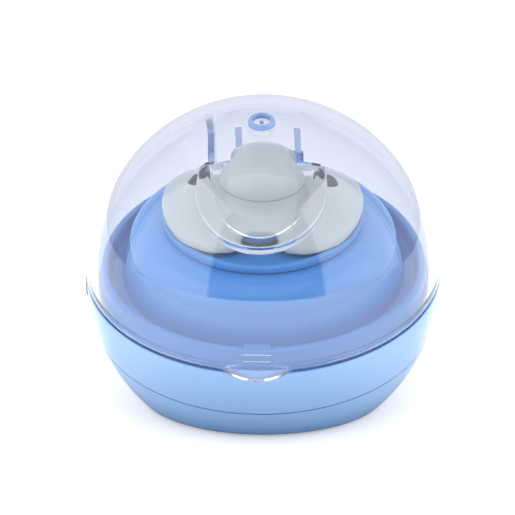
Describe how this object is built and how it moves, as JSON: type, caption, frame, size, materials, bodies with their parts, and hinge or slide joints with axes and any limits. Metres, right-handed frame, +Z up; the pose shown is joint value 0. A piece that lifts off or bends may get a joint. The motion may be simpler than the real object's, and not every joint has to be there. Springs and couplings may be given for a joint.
{
  "type": "pacifier sterilizer case",
  "caption": "Ball-shaped ultraviolet sterilizer case for a pacifier, with a clear hinged lid, a domed holder with a lamp under it, and a pacifier with a ring handle.",
  "frame": {"origin": "on the table, under the middle of the closed case's box", "axes": "+Z up, +X to the right of someone facing the lifting tab, so the tab is at -Y and the hinge at +Y"},
  "size_m": [0.0802, 0.0824, 0.0703],
  "materials": {
    "clear_lid": "clear, tinted pale blue",
    "blue_shell": "semi-gloss",
    "blue_tray": "semi-gloss",
    "pacifier_grey": "semi-gloss",
    "clear_ring": "clear",
    "silicone": "translucent",
    "quartz": "polished",
    "white_plastic": "matte",
    "circuit_board": "lacquered",
    "board_metal": "satin",
    "black_plastic": "matte",
    "red_wire": "matte",
    "steel": "satin",
    "foot_rubber": "matte"
  },
  "bodies": {
    "base": {"base_band": "blue_shell", "lower_shell": "blue_shell", "inner_tray": "blue_tray", "holder_cup": "blue_tray", "hinge_pin": "steel", "charging_socket": "steel", "shell_screw_1": "steel", "shell_screw_2": "steel", "shell_screw_3": "steel", "window_seal": "silicone", "uv_window": "quartz", "window_spacer": "white_plastic", "lamp_cap": "white_plastic", "lamp_board": "board_metal", "uv_led_1": "white_plastic", "uv_led_2": "white_plastic", "uv_led_3": "white_plastic", "main_board": "circuit_board", "control_chip": "black_plastic", "button_switch": "black_plastic", "lid_switch": "black_plastic", "battery_cell": "board_metal", "battery_pad": "foot_rubber", "battery_lead_1": "red_wire", "battery_lead_2": "black_plastic", "lamp_lead_1": "red_wire", "lamp_lead_2": "black_plastic", "rubber_foot_1": "foot_rubber", "rubber_foot_2": "foot_rubber", "rubber_foot_3": "foot_rubber", "rubber_foot_4": "foot_rubber"},
    "lid": {"lid_shell": "clear_lid"},
    "button": {"power_button": "blue_tray"},
    "plunger": {"interlock_plunger": "white_plastic"},
    "pacifier": {"pacifier_shield": "pacifier_grey", "pacifier_teat": "silicone", "pacifier_knob": "pacifier_grey"},
    "ring": {"pacifier_ring": "clear_ring"}
  },
  "joints": [
    {"name": "lid_hinge", "type": "hinge", "parent": "base", "child": "lid", "pos_m": [0.00015, 0.03865, 0.04109], "axis": [-1, 0, 0], "range_deg": [0, 105]},
    {"name": "button_press", "type": "slide", "parent": "base", "child": "button", "axis": [1, 0, 0], "range_m": [0, 0.00035], "stiffness_N_per_m": 400, "springref_m": -0.001},
    {"name": "plunger_rise", "type": "slide", "parent": "base", "child": "plunger", "axis": [0, -0.2706, 0.9627], "range_m": [0, 0.0012]},
    {"name": "pacifier_lift", "type": "slide", "parent": "base", "child": "pacifier", "axis": [0, -0.2706, 0.9627], "range_m": [0, 0.0025]},
    {"name": "ring_swing", "type": "hinge", "parent": "pacifier", "child": "ring", "pos_m": [0.00015, -0.00618, 0.05536], "axis": [-1, 0, 0], "range_deg": [0, 8]}
  ],
  "couplings": [
    {"joint": "plunger_rise", "follows": "lid_hinge", "m_per_rad": 0.000654}
  ]
}
